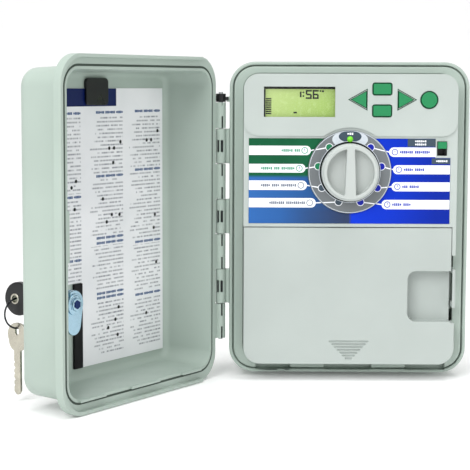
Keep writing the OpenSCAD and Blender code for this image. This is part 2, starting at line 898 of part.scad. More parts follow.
module bypass_slider() {
    color(green_color) {
        block([bypass_at[0] - 3, bypass_at[0] + 3], [13.9, proud + 1], [bypass_at[1], bypass_at[1] + 4.6]);
        block([bypass_at[0] - 1.9, bypass_at[0] + 1.9], [9, 14], [bypass_at[1] + 1, bypass_at[1] + 4]);
    }
}

back_housing();
hinge_pin();
hinge_pin_cap();
face_pack();
dial_label();
dial_ring();
lcd_window();
lcd_panel();
lcd_holder();
circuit_board();
rotary_switch();
tact_switches();
bypass_switch();
run_led();
battery_holder();
coin_battery();
lock_strike();
face_pack_screws();
terminal_board();
terminal_block();
terminal_screws();
transformer_core();
transformer_coil();
transformer_bracket();
transformer_screws();
sensor_hole_plug();
ribbon_cable();
wiring_cover();
door_shell();
door_gasket();
instruction_card();
card_clip();
lock_foam();
lock_barrel();
lock_nut();
lock_plug();
lock_cam();
cam_nut();
key_blade();
key_head();
key_ring();
spare_key();
dial_knob();
dial_shaft();
button_up();
button_down();
button_left();
button_right();
button_program();
bypass_slider();
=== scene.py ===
import json
import math

import bmesh
import bpy
from mathutils import Matrix, Vector

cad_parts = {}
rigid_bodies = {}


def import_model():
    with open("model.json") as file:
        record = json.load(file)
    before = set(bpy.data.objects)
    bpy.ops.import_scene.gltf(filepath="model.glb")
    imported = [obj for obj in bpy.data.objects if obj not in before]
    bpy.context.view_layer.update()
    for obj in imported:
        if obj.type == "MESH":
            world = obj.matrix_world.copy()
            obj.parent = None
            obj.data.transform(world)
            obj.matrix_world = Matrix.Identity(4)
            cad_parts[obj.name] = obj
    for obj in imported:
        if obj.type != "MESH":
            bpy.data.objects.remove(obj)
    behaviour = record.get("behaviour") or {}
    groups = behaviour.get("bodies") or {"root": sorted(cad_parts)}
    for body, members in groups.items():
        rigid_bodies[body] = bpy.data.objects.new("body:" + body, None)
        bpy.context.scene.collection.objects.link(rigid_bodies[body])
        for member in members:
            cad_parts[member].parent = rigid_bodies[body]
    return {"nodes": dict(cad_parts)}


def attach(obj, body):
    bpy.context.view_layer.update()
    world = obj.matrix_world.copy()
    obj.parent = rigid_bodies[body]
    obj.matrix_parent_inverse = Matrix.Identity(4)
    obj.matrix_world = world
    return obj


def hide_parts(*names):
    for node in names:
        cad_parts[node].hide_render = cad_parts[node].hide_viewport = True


bl_info = {
    "name": "Irrigation controller looks",
    "version": (1, 0, 0),
    "blender": (4, 5, 0),
    "location": "View3D > Sidebar > Controller",
    "description": "Builds the visible pieces of an irrigation controller round its frame",
    "category": "Object",
}

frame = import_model()

MM = 0.001
RIM_Y = -53.0
HINGE = Vector((-90.2, -53.3, 0.0)) * MM
DOOR_OPEN = math.radians(123)
OPENED = Matrix.Rotation(-DOOR_OPEN, 4, "Z")
ON_DOOR = Matrix.Translation(HINGE) @ OPENED @ Matrix.Translation(-HINGE)
FACING = (math.pi / 2, 0, 0)
# distances in front of the rim's plane
FACE_T = 16.8
POD_T = 18.0
RING_T = 18.6
CARD_T = 37.5
# centres in X and Z, and the radius the dots stand on
DIAL = (-0.5, 34.0)
DOT_R = 22.2
LOCK = (56.5, -45.0)
FLOOR_Z = -0.1132
# coring slots in the base's knuckles and notches in the door's, where shade is painted; Z is a
# lower edge
SLOT_T = 2.85
SLOT_HIGH = 8.4
SLOT_X = ((-92.4, -91.4), (-90.1, -88.5))
SLOT_Z = (46.7, -2.9, -52.5)
KNUCKLE_LONG = 24.4
NOTCH_HIGH = 8.2
KNUCKLE_TOPS = (38.3, -11.3, -60.9)
NOTCH_Z = tuple(top - KNUCKLE_LONG + low for top in KNUCKLE_TOPS for low in (0.1, 16.1)) + (63.6,)
# edge rounding, and the steepest angle that still shades smooth
BEVEL_ANGLE = math.radians(38)
SMOOTH_ANGLE = math.radians(34)
# print round the dial, and a painted shadow ring round the knob: radii about the dial's axis
KNOB_EDGE_R = 21.4
KNOB_LINE_R = 21.0
KNOB_SHADOW_R = 20.0
RING_EDGE_R = 28.5
RING_OUTER_R = 28.7
# radii of a dot's outline and of its ink, and the width of the line that leads to it
OUTLINE_R = 2.75
INK_DOT_R = 2.3
LEADER_WIDE = 0.75
# blocks that stand for letters
LETTER = 1.0
LETTER_GAP = 0.33
WORD_GAP = 1.1


def linear(red, green, blue):
    """Scene-linear colour of a colour given in 0 to 255 steps."""
    steps = [v / 255 for v in (red, green, blue)]
    light = [v / 12.92 if v <= 0.04045 else ((v + 0.055) / 1.055) ** 2.4 for v in steps]
    return tuple(light) + (1.0,)


# ---- Sizes and colours a user may change ----


def colour(name, default, description):
    return bpy.props.FloatVectorProperty(
        name=name,
        description=description,
        default=default[:3],
        subtype="COLOR",
        size=3,
        min=0,
        max=1,
    )


def length(name, default, description):
    return bpy.props.FloatProperty(
        name=name, description=description, default=default, unit="LENGTH"
    )


class ControllerShape(bpy.types.PropertyGroup):
    edge: length("Edge rounding", 0.7 * MM, "Radius on the outer edges of the mouldings")
    fine_edge: length("Fine rounding", 0.25 * MM, "Radius on metal and small parts")
    ink: length("Print thickness", 0.06 * MM, "How far the print stands on the label")


class ControllerColours(bpy.types.PropertyGroup):
    enclosure: colour("Enclosure", linear(164, 178, 169), "Base and door mouldings")
    panel: colour("Panel", linear(170, 178, 174), "Fascia, wiring cover and dial")
    green: colour("Green", linear(16, 86, 54), "Upper left of the label")
    steel: colour("Steel blue", linear(44, 94, 160), "Lower left of the label")
    blue: colour("Blue", linear(2, 46, 182), "Right-hand side of the label")
    button: colour("Buttons", linear(12, 124, 72), "Push buttons and the bypass switch")


# ---- Materials ----


class Finish:
    """A node material with short ways to add the nodes its pattern needs."""

    def __init__(self, name, **sockets):
        self.material = bpy.data.materials.new(name)
        self.material.use_nodes = True
        self.tree = self.material.node_tree
        self.shader = self.tree.nodes["Principled BSDF"]
        for key, value in sockets.items():
            self.shader.inputs[key.replace("_", " ")].default_value = value
        self.place = self.node("ShaderNodeTexCoord").outputs["Object"]

    def node(self, kind, **settings):
        made = self.tree.nodes.new(kind)
        for key, value in settings.items():
            setattr(made, key, value)
        return made

    def feed(self, socket, value):
        if isinstance(value, bpy.types.NodeSocket):
            self.tree.links.new(value, socket)
        else:
            socket.default_value = value

    def math(self, operation, *values):
        made = self.node("ShaderNodeMath", operation=operation)
        for socket, value in zip(made.inputs, values):
            self.feed(socket, value)
        return made.outputs[0]

    def turned(self, location=(0, 0, 0), rotation=(0, 0, 0), scale=(1, 1, 1)):
        made = self.node("ShaderNodeMapping")
        made.inputs["Location"].default_value = location
        made.inputs["Rotation"].default_value = rotation
        made.inputs["Scale"].default_value = scale
        self.feed(made.inputs["Vector"], self.place)
        return made.outputs[0]

    def axes(self, vector=None):
        made = self.node("ShaderNodeSeparateXYZ")
        self.feed(made.inputs[0], vector or self.place)
        return made.outputs

    def noise(self, scale, detail=2.0, vector=None):
        made = self.node("ShaderNodeTexNoise")
        made.inputs["Scale"].default_value = scale
        made.inputs["Detail"].default_value = detail
        self.feed(made.inputs["Vector"], vector or self.place)
        return made.outputs[0]

    def ramp(self, value, low, high, to_low=0.0, to_high=1.0):
        made = self.node("ShaderNodeMapRange")
        for socket, v in zip(made.inputs, (value, low, high, to_low, to_high)):
            self.feed(socket, v)
        return made.outputs[0]

    def mix(self, factor, first, second):
        made = self.node("ShaderNodeMix", data_type="RGBA")
        self.feed(made.inputs[0], factor)
        self.feed(made.inputs[6], first)
        self.feed(made.inputs[7], second)
        return made.outputs[2]

    def blend(self, value, low, high, first, second):
        """From the first colour to the second as the value goes from low to high."""
        return self.mix(self.ramp(value, low, high), first, second)

    def paint(self, value):
        self.feed(self.shader.inputs["Base Color"], value)
        return self

    def roughen(self, value, low, high):
        self.feed(self.shader.inputs["Roughness"], self.ramp(value, 0.3, 0.7, low, high))
        return self

    def bump(self, height, strength, distance=0.1 * MM):
        made = self.node("ShaderNodeBump")
        made.inputs["Strength"].default_value = strength
        made.inputs["Distance"].default_value = distance
        self.feed(made.inputs["Height"], height)
        self.feed(self.shader.inputs["Normal"], made.outputs[0])
        return self


def shade(color, by):
    return tuple(min(1.0, v * by) for v in color[:3]) + (1.0,)


def moulded(name, color, rough=0.42, grain=0.12, spread=0.05):
    """Moulded plastic: faint cloudiness of colour and a fine satin grain."""
    look = Finish(name, Specular_IOR_Level=0.45)
    cloud = look.noise(14, 4)
    fine = look.noise(2600, 1)
    look.paint(look.blend(cloud, 0.3, 0.7, shade(color, 1 - spread), shade(color, 1 + spread)))
    look.roughen(look.noise(60, 3), rough - 0.06, rough + 0.08)
    return look.bump(fine, grain).material


def metal(name, color, rough=0.28, brushed=(1, 1, 30), spread=0.12):
    """Metal with fine drawn lines and handling marks."""
    look = Finish(name, Metallic=1.0)
    lines = look.noise(900, 2, look.turned(scale=brushed))
    marks = look.noise(160, 5)
    look.paint(look.blend(marks, 0.3, 0.7, shade(color, 1 - spread), shade(color, 1 + spread)))
    look.roughen(marks, rough - 0.08, rough + 0.14)
    return look.bump(lines, 0.15, 0.05 * MM).material


def inked(name, color, rough=0.35):
    """A flat printed ink with the faint mottle of a screen print."""
    look = Finish(name, Specular_IOR_Level=0.2)
    mottle = look.noise(900, 2)
    look.paint(look.blend(mottle, 0.35, 0.65, shade(color, 0.96), shade(color, 1.04)))
    look.roughen(look.noise(200, 2), rough - 0.05, rough + 0.05)
    return look.bump(look.noise(3200, 1), 0.04).material


def label_film(colours):
    """Printed film: green above and steel blue below on the left, royal blue on the right."""
    look = Finish("label_film", Specular_IOR_Level=0.15)
    x, _, z = look.axes()
    cloud = look.noise(40, 3)
    green = look.blend(cloud, 0.3, 0.7, shade(colours.green, 0.82), shade(colours.green, 1.15))
    pale, deep = shade(colours.steel, 1.1), shade(colours.steel, 0.72)
    steel = look.blend(x, -70 * MM, -28 * MM, pale, deep)
    foot = look.blend(x, -48 * MM, -4 * MM, steel, linear(46, 60, 92))
    steel = look.blend(z, 18 * MM, 6 * MM, steel, foot)
    pale, deep = shade(colours.blue, 1.25), shade(colours.blue, 0.62)
    blue = look.blend(x, 6 * MM, 60 * MM, pale, deep)
    left = look.blend(z, 31.6 * MM, 29.6 * MM, green, steel)
    look.paint(look.blend(x, -0.8 * MM, 1.4 * MM, left, blue))
    look.roughen(look.noise(120, 2), 0.28, 0.36)
    return look.bump(look.noise(3000, 1), 0.05).material


def display_glass():
    look = Finish("display_glass", Roughness=0.06, Alpha=0.02, Specular_IOR_Level=0.5)
    tint = look.blend(look.noise(30, 2), 0.3, 0.7, (0.8, 0.9, 0.75, 1), (0.9, 0.95, 0.85, 1))
    look.paint(tint)
    return look.material


def crystal_panel():
    """Liquid crystal glass: yellow-green, lighter at the upper left, with a faint painted light of
    its own.
    """
    look = Finish("crystal_panel", Specular_IOR_Level=0.5, Coat_Weight=0.3)
    x, _, z = look.axes()
    across = look.ramp(x, -60 * MM, -11 * MM, 0, 0.7)
    slope = look.math("ADD", across, look.ramp(z, 92 * MM, 72 * MM, 0, 0.3))
    look.paint(look.mix(slope, linear(172, 192, 122), linear(136, 166, 76)))
    look.roughen(look.noise(300, 2), 0.2, 0.3)
    # painted light: the panel is given a faint light of its own
    painted_glow = look.mix(slope, linear(190, 210, 136), linear(150, 182, 84))
    look.feed(look.shader.inputs["Emission Color"], painted_glow)
    look.shader.inputs["Emission Strength"].default_value = 0.12
    return look.material


def printed_card():
    """Coated card with grey lines of illegible small print in three columns."""
    look = Finish("printed_card", Specular_IOR_Level=0.5)
    turned = look.node("ShaderNodeMapping", vector_type="TEXTURE")
    turned.inputs["Location"].default_value = ON_DOOR.to_translation()
    turned.inputs["Rotation"].default_value = (0, 0, -DOOR_OPEN)
    look.feed(turned.inputs["Vector"], look.place)
    x, _, z = look.axes(turned.outputs[0])
    row = look.math("DIVIDE", z, LINE_PITCH)
    index = look.math("FLOOR", row)
    phase = look.math("FRACT", row)
    above = look.math("GREATER_THAN", phase, 0.30)
    line = look.math("MULTIPLY", above, look.math("LESS_THAN", phase, 0.72))
    seat = look.node("ShaderNodeCombineXYZ")
    look.feed(seat.inputs[0], look.math("MULTIPLY", x, 1150.0))
    look.feed(seat.inputs[1], look.math("MULTIPLY", index, 7.31))
    letters = look.noise(1.0, 0, seat.outputs[0])
    words = look.node("ShaderNodeCombineXYZ")
    look.feed(words.inputs[0], look.math("MULTIPLY", x, 260.0))
    look.feed(words.inputs[1], look.math("MULTIPLY", index, 3.77))
    gaps = look.math("GREATER_THAN", look.noise(1.0, 0, words.outputs[0]), 0.38)
    ends = look.node("ShaderNodeCombineXYZ")
    look.feed(ends.inputs[1], look.math("MULTIPLY", index, 5.13))
    short = look.ramp(look.noise(1.0, 0, ends.outputs[0]), 0.35, 0.65, 0.68, 1.0)
    inside = None
    for left, right, rows in COLUMNS:
        end = look.math("ADD", look.math("MULTIPLY", short, (right - left) * MM), left * MM)
        started = look.math("GREATER_THAN", x, left * MM)
        column = look.math("MULTIPLY", started, look.math("LESS_THAN", x, end))
        for heading in rows:
            away = look.math("ABSOLUTE", look.math("SUBTRACT", z, heading * MM))
            column = look.math("MULTIPLY", column, look.math("GREATER_THAN", away, 2 * MM))
        inside = column if inside is None else look.math("MAXIMUM", inside, column)
    below = look.math("LESS_THAN", z, 76 * MM)
    band = look.math("MULTIPLY", below, look.math("GREATER_THAN", z, -88 * MM))
    written = look.math("MULTIPLY", line, inside)
    ink = look.math("MULTIPLY", written, look.math("MULTIPLY", gaps, band))
    depth = look.ramp(letters, 0.3, 0.7, 0.2, 0.75)
    cloud = look.noise(30, 3)
    paper = look.blend(cloud, 0.3, 0.7, linear(222, 224, 226), linear(232, 233, 235))
    look.paint(look.mix(look.math("MULTIPLY", ink, depth), paper, linear(70, 76, 92)))
    look.roughen(look.noise(200, 2), 0.3, 0.4)
    return look.bump(look.noise(1500, 2), 0.05).material


# the card's print: pitch of its lines; each column's ends and headings; bullets
LINE_PITCH = 2.6 * MM
COLUMNS = (
    (-68.5, -33.0, (75.6, 35.2, -15.0, -52.0)),
    (-26.0, 9.5, (75.2, 32.6, -9.0, -12.4, -46.6, -49.6)),
    (19.0, 54.0, (74.8, 20.0, -22.0)),
)
BULLETS = (
    (-65.6, 61.6), (-58.2, 55.4), (-53.0, 55.4), (-62.4, 2.8), (-61.0, -6.4), (-63.8, -31.0),
    (-52.0, -66.0), (-23.4, 55.0), (-16.4, 51.0), (-11.2, 51.0), (-15.4, 41.2), (-4.0, 17.2),
    (-22.0, 5.6), (-13.6, 6.0), (-8.0, 1.4), (-20.6, -58.0), (-17.0, -66.2), (-9.0, -71.0),
    (-19.4, -77.0), (24.0, 30.4), (28.6, 26.4), (25.6, 12.0),
)

FINISHES = {}


def finish(name):
    """The named material, made the first time it is asked for."""
    if name not in FINISHES:
        colours = bpy.context.scene.controller_colours
        FINISHES[name] = MAKERS[name](colours)
    return FINISHES[name]


MAKERS = {
    "enclosure": lambda c: moulded("enclosure_plastic", c.enclosure, 0.42),
    "panel": lambda c: moulded("panel_plastic", c.panel, 0.4, 0.1),
    "pod": lambda c: moulded("pod_plastic", shade(c.panel, 1.05), 0.38, 0.1),
    "knob": lambda c: moulded("dial_plastic", linear(178, 184, 181), 0.36, 0.06, 0.02),
    # black plastic parts, also used for painted shade in the door's coring notches
    "black": lambda c: moulded("black_plastic", linear(12, 13, 15), 0.3, 0.08, 0.1),
    "rubber": lambda c: moulded("gasket_rubber", linear(58, 70, 62), 0.7, 0.3, 0.15),
    # black of the strip painted as the deep shade beside the lock
    "foam": lambda c: moulded("painted_shadow_black", linear(8, 8, 10), 0.9, 0.8, 0.2),
    "white": lambda c: moulded("white_plastic", linear(222, 222, 218), 0.45, 0.08),
    "button": lambda c: moulded("button_rubber", c.button, 0.5, 0.15, 0.06),
    "terminal": lambda c: moulded("terminal_plastic", linear(38, 120, 80), 0.4, 0.1),
    "board": lambda c: moulded("circuit_board", linear(24, 96, 54), 0.3, 0.05, 0.12),
    "tape": lambda c: moulded("winding_tape", linear(216, 176, 60), 0.4, 0.15, 0.1),
    "ribbon": lambda c: moulded("ribbon_cable", linear(170, 172, 176), 0.45, 0.2, 0.1),
    "ring": lambda c: moulded("ring_plastic", linear(104, 109, 112), 0.42, 0.1, 0.06),
    "steel": lambda c: metal("plated_steel", linear(182, 184, 186), 0.3),
    "zinc": lambda c: metal("zinc_plate", linear(158, 188, 204), 0.16),
    "dark_zinc": lambda c: metal("dark_plate", linear(40, 56, 100), 0.34),
    "nickel": lambda c: metal("key_nickel", linear(188, 184, 170), 0.3, (1, 1, 12), 0.16),
    "wire": lambda c: metal("ring_wire", linear(58, 60, 64), 0.3, (1, 1, 1), 0.2),
    "lens": lambda c: moulded("lamp_lens", linear(116, 214, 40), 0.2, 0.02, 0.04),
    "film": label_film,
    "glass": lambda c: display_glass(),
    "crystal": lambda c: crystal_panel(),
    "card": lambda c: printed_card(),
    "white_ink": lambda c: inked("white_ink", linear(238, 240, 244)),
    "pale_ink": lambda c: inked("pale_ink", linear(196, 203, 210)),
    "grey_ink": lambda c: inked("grey_ink", linear(104, 112, 128)),
    "green_ink": lambda c: inked("green_ink", linear(30, 120, 80)),
    "teal_ink": lambda c: inked("teal_ink", linear(66, 146, 114)),
    "blue_ink": lambda c: inked("blue_ink", linear(18, 32, 160)),
    "pale_blue_ink": lambda c: inked("pale_blue_ink", linear(40, 60, 168)),
    "slate_ink": lambda c: inked("slate_ink", linear(62, 76, 88)),
    # black print on the card, also used for painted shade in the slots, round the knob and in the
    # display's recess
    "black_print_and_shade": lambda c: inked("black_print_and_shade", linear(22, 24, 26)),
    "navy_ink": lambda c: inked("navy_ink", linear(10, 26, 78)),
    "heading_ink": lambda c: inked("heading_ink", linear(48, 80, 124)),
    # dark green of the painted shade round the buttons
    "gap_shade_ink": lambda c: inked("gap_shade_ink", linear(24, 66, 46)),
    "segment": lambda c: inked("display_segment", linear(2, 4, 2), 0.7),
}


# ---- Modelling ----


def alone(piece):
    """Makes the piece the only selected object."""
    if bpy.context.object and bpy.context.object.mode != "OBJECT":
        bpy.ops.object.mode_set(mode="OBJECT")
    bpy.ops.object.select_all(action="DESELECT")
    bpy.context.view_layer.objects.active = piece
    piece.select_set(True)


def apply_modifier(piece, kind, **settings):
    modifier = piece.modifiers.new(kind.title(), kind)
    for key, value in settings.items():
        setattr(modifier, key, value)
    alone(piece)
    bpy.ops.object.modifier_apply(modifier=modifier.name)


def rounded(piece, width, segments=3, clamp=False):
    apply_modifier(
        piece,
        "BEVEL",
        width=width,
        segments=segments,
        limit_method="ANGLE",
        angle_limit=BEVEL_ANGLE,
        use_clamp_overlap=clamp,
        loop_slide=False,
    )
    bpy.ops.object.shade_smooth_by_angle(angle=SMOOTH_ANGLE)
    apply_modifier(piece, "WEIGHTED_NORMAL", keep_sharp=True)


def done(piece, material, body, replaces=(), on_door=False):
    """Sets the finish, applies the place and makes the piece ride."""
    alone(piece)
    if on_door:
        piece.matrix_world = ON_DOOR @ piece.matrix_world
    bpy.ops.object.transform_apply(location=True, rotation=True, scale=True)
    piece.data.materials.clear()
    piece.data.materials.append(finish(material))
    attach(piece, body)
    if replaces:
        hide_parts(*replaces)


def from_frame(node, name, width, segments=3, clamp=False):
    """A copy of a frame node, its doubles merged and its edges rounded."""
    piece = bpy.data.objects.new(name, frame["nodes"][node].data.copy())
    bpy.context.scene.collection.objects.link(piece)
    alone(piece)
    bpy.ops.mesh.customdata_custom_splitnormals_clear()
    bpy.ops.object.mode_set(mode="EDIT")
    bpy.ops.mesh.select_all(action="SELECT")
    bpy.ops.mesh.remove_doubles(threshold=0.004 * MM)
    bpy.ops.object.mode_set(mode="OBJECT")
    rounded(piece, width, segments, clamp)
    return piece


def keep(node, material):
    """Gives a frame node that stays its finish."""
    piece = frame["nodes"][node]
    piece.data.materials.clear()
    piece.data.materials.append(finish(material))


def new_mesh(name, t):
    """An empty mesh open in edit mode, for flat shapes drawn at distance t in front of the rim."""
    mesh = bpy.data.meshes.new(name)
    piece = bpy.data.objects.new(name, mesh)
    bpy.context.scene.collection.objects.link(piece)
    piece["t"] = t
    alone(piece)
    bpy.ops.object.mode_set(mode="EDIT")
    return piece


def spot(piece, x, z):
    return Vector((x, RIM_Y - piece["t"], z)) * MM


def add_bar(piece, x0, x1, z0, z1, corner=0.0):
    """A flat bar between two corners; its own corners are rounded when corner is set."""
    bpy.ops.mesh.select_all(action="DESELECT")
    place = spot(piece, (x0 + x1) / 2, (z0 + z1) / 2)
    bpy.ops.mesh.primitive_plane_add(size=MM, location=place, rotation=FACING)
    bpy.ops.transform.resize(value=(abs(x1 - x0), 1, abs(z1 - z0)), center_override=place)
    if corner:
        bpy.ops.mesh.bevel(affect="VERTICES", offset=corner * MM, segments=6)


def add_line(piece, start, end, width):
    """A flat line of constant width between two points."""
    a, b = Vector(start), Vector(end)
    place = spot(piece, *((a + b) / 2))
    lean = math.atan2(b.y - a.y, b.x - a.x)
    bpy.ops.mesh.select_all(action="DESELECT")
    bpy.ops.mesh.primitive_plane_add(size=MM, location=place, rotation=FACING)
    bpy.ops.transform.resize(value=((b - a).length, 1, width), center_override=place)
    bpy.ops.transform.rotate(value=lean, orient_axis="Y", center_override=place)


def add_disc(piece, x, z, r, rz=None, sides=40):
    bpy.ops.mesh.select_all(action="DESELECT")
    place = spot(piece, x, z)
    bpy.ops.mesh.primitive_circle_add(
        vertices=sides, radius=MM, fill_type="NGON", location=place, rotation=FACING
    )
    bpy.ops.transform.resize(value=(r, 1, rz or r), center_override=place)


def raise_print(height):
    """Gives the flat shapes of the open mesh their thickness and closes them."""
    bpy.ops.mesh.select_all(action="SELECT")
    bpy.ops.mesh.normals_make_consistent(inside=False)
    bpy.ops.mesh.extrude_region_move(TRANSFORM_OT_translate={"value": (0, -height, 0)})
    bpy.ops.mesh.select_all(action="SELECT")
    bpy.ops.mesh.normals_make_consistent(inside=False)
    bpy.ops.object.mode_set(mode="OBJECT")


def hollow_out(piece, inner, outer=None):
    """Keeps what lies between two radii round the dial axis."""
    for radius, operation in ((inner, "DIFFERENCE"), (outer, "INTERSECT")):
        if not radius:
            continue
        alone(piece)
        bpy.ops.object.select_all(action="DESELECT")
        bpy.ops.mesh.primitive_cylinder_add(
            vertices=96,
            radius=radius * MM,
            depth=20 * MM,
            location=Vector((DIAL[0], RIM_Y - 18, DIAL[1])) * MM,
            rotation=FACING,
        )
        cutter = bpy.context.object
        apply_modifier(piece, "BOOLEAN", object=cutter, operation=operation, solver="EXACT")
        bpy.data.objects.remove(cutter)


def tube(name, place, rotation, radius, wall, along):
    """A short tube: a disc made into a ring by an inset, then drawn out along a vector."""
    bpy.ops.object.select_all(action="DESELECT")
    bpy.ops.mesh.primitive_circle_add(
        vertices=48, radius=radius * MM, fill_type="NGON", location=place, rotation=rotation
    )
    piece = bpy.context.object
    piece.name = name
    bpy.ops.object.mode_set(mode="EDIT")
    bpy.ops.mesh.inset(thickness=wall * MM)
    bpy.ops.mesh.delete(type="FACE")
    bpy.ops.mesh.select_all(action="SELECT")
    bpy.ops.mesh.extrude_region_move(TRANSFORM_OT_translate={"value": along})
    bpy.ops.mesh.select_all(action="SELECT")
    bpy.ops.mesh.normals_make_consistent(inside=False)
    bpy.ops.object.mode_set(mode="OBJECT")
    return piece


def polar(r, degrees):
    a = math.radians(degrees)
    return DIAL[0] + r * math.cos(a), DIAL[1] + r * math.sin(a)


# ---- Pieces ----

# strips of the label: inner end, lower and upper edge, angle of the dot, and outer end on the right
LEFT_PILLS = (
    (-27.5, 45.5, 51.9, 130),
    (-31.2, 33.3, 39.3, 170),
    (-30.0, 21.2, 27.8, 210),
    (-23.8, 9.1, 15.6, 250),
)
RIGHT_PILLS = (
    (26.7, 44.5, 51.0, 50, 59.2),
    (29.6, 32.5, 38.7, 10, 69.0),
    (28.7, 20.6, 26.9, -30, 69.0),
    (21.9, 8.1, 14.6, -70, 69.0),
)
STRIP_END = -70.35
LEFT_ICON = 4.2
RIGHT_ICON = 4.0
LEFT_WORDS = ((6, 3), (6, 3, 7), (5, 4, 8), (8, 10))
RIGHT_WORDS = ((7, 8), (5, 5), (3, 5), (5, 4))


def add_words(piece, x, z, words, height=1.9, letter=LETTER, gap=LETTER_GAP):
    """A row of small blocks that stand for illegible lettering."""
    for w, count in enumerate(words):
        for i in range(count):
            tall = height * (1.0 if (i * 7 + w * 3) % 4 else 0.72)
            add_bar(piece, x, x + letter, z - tall / 2, z + tall / 2)
            x += letter + gap
        x += WORD_GAP


def words_width(words):
    return sum(words) * (LETTER + LETTER_GAP) + WORD_GAP * (len(words) - 1)


def square_end(piece, corner, keep_left):
    """Rounds only one end of the bar that was just added."""
    edit = bmesh.from_edit_mesh(piece.data)
    chosen = [v for v in edit.verts if v.select]
    middle = sum(v.co.x for v in chosen) / len(chosen)
    for v in chosen:
        if (v.co.x < middle) == keep_left:
            v.select_set(False)
    edit.select_flush(False)
    bmesh.update_edit_mesh(piece.data)
    bpy.ops.mesh.bevel(affect="VERTICES", offset=corner * MM, segments=8)


def leader_cut(end, angle):
    """Where the leader from a pill's end to its dot crosses the edge of the dial ring."""
    a, b, c = Vector(end), Vector(polar(DOT_R, angle)), Vector(DIAL)
    d, m = b - a, a - c
    half = m.dot(d)
    root = math.sqrt(half * half - d.dot(d) * (m.dot(m) - RING_OUTER_R**2))
    s = (-half - root) / d.dot(d)
    return a + d * s, b


def printed(name, t, ink, material, draw, clip=None):
    """A printed layer: flat shapes given the ink's thickness, cut to the radii in clip."""
    piece = new_mesh(name, t)
    draw(piece)
    raise_print(ink)
    if clip:
        hollow_out(piece, *clip)
    done(piece, material, "root")


class CONTROLLER_OT_enclosure(bpy.types.Operator):
    """Base, door, hinge and seal"""

    bl_idname = "controller.enclosure"
    bl_label = "Enclosure"

    @staticmethod
    def slot_shade(piece):
        """Painted shade: dark bars on the floors of the two coring slots in each knuckle of the
        base, standing in for their depth.
        """
        for low in SLOT_Z:
            for left, right in SLOT_X:
                add_bar(piece, left, right, low, low + SLOT_HIGH)

    @staticmethod
    def notch_shade_blocks():
        """Painted shade: dark blocks that line the coring notches of the door's knuckles, standing
        in for their depth.
        """
        piece = new_mesh("notch_shade_blocks", 0)
        for low in NOTCH_Z:
            high = low + NOTCH_HIGH
            place = Vector((HINGE.x + 1.8 * MM, HINGE.y + 2.5 * MM, (low + high) / 2 * MM))
            bpy.ops.mesh.select_all(action="DESELECT")
            bpy.ops.mesh.primitive_cube_add(size=MM, location=place)
            bpy.ops.transform.resize(value=(0.75, 0.6, high - low), center_override=place)
        bpy.ops.object.mode_set(mode="OBJECT")
        return piece

    def execute(self, context):
        shape = context.scene.controller_shape
        base = from_frame("back_housing", "base_moulding", shape.edge)
        done(base, "enclosure", "root", ["back_housing"])
        door = from_frame("door_shell", "door_moulding", shape.edge, clamp=True)
        done(door, "enclosure", "door", ["door_shell"])
        cap = from_frame("hinge_pin_cap", "pin_cap", shape.fine_edge)
        done(cap, "black", "root", ["hinge_pin_cap"])
        # painted shade: black bars in the base's coring slots
        printed("slot_shade", SLOT_T, shape.ink, "black_print_and_shade", self.slot_shade)
        # painted shade: black blocks in the door's coring notches
        done(self.notch_shade_blocks(), "black", "door", on_door=True)
        keep("hinge_pin", "steel")
        keep("door_gasket", "rubber")
        return {"FINISHED"}


class CONTROLLER_OT_fascia(bpy.types.Operator):
    """Fascia moulding, dial ring and label film"""

    bl_idname = "controller.fascia"
    bl_label = "Fascia"

    def execute(self, context):
        shape = context.scene.controller_shape
        fascia = from_frame("face_pack", "fascia", 0.45 * MM, clamp=True)
        done(fascia, "pod", "root", ["face_pack"])
        ring = from_frame("dial_ring", "ring_moulding", shape.fine_edge)
        done(ring, "ring", "root", ["dial_ring"])
        keep("dial_label", "film")
        keep("face_pack_screws", "steel")
        strike = from_frame("lock_strike", "strike", shape.fine_edge)
        done(strike, "panel", "root", ["lock_strike"])
        return {"FINISHED"}


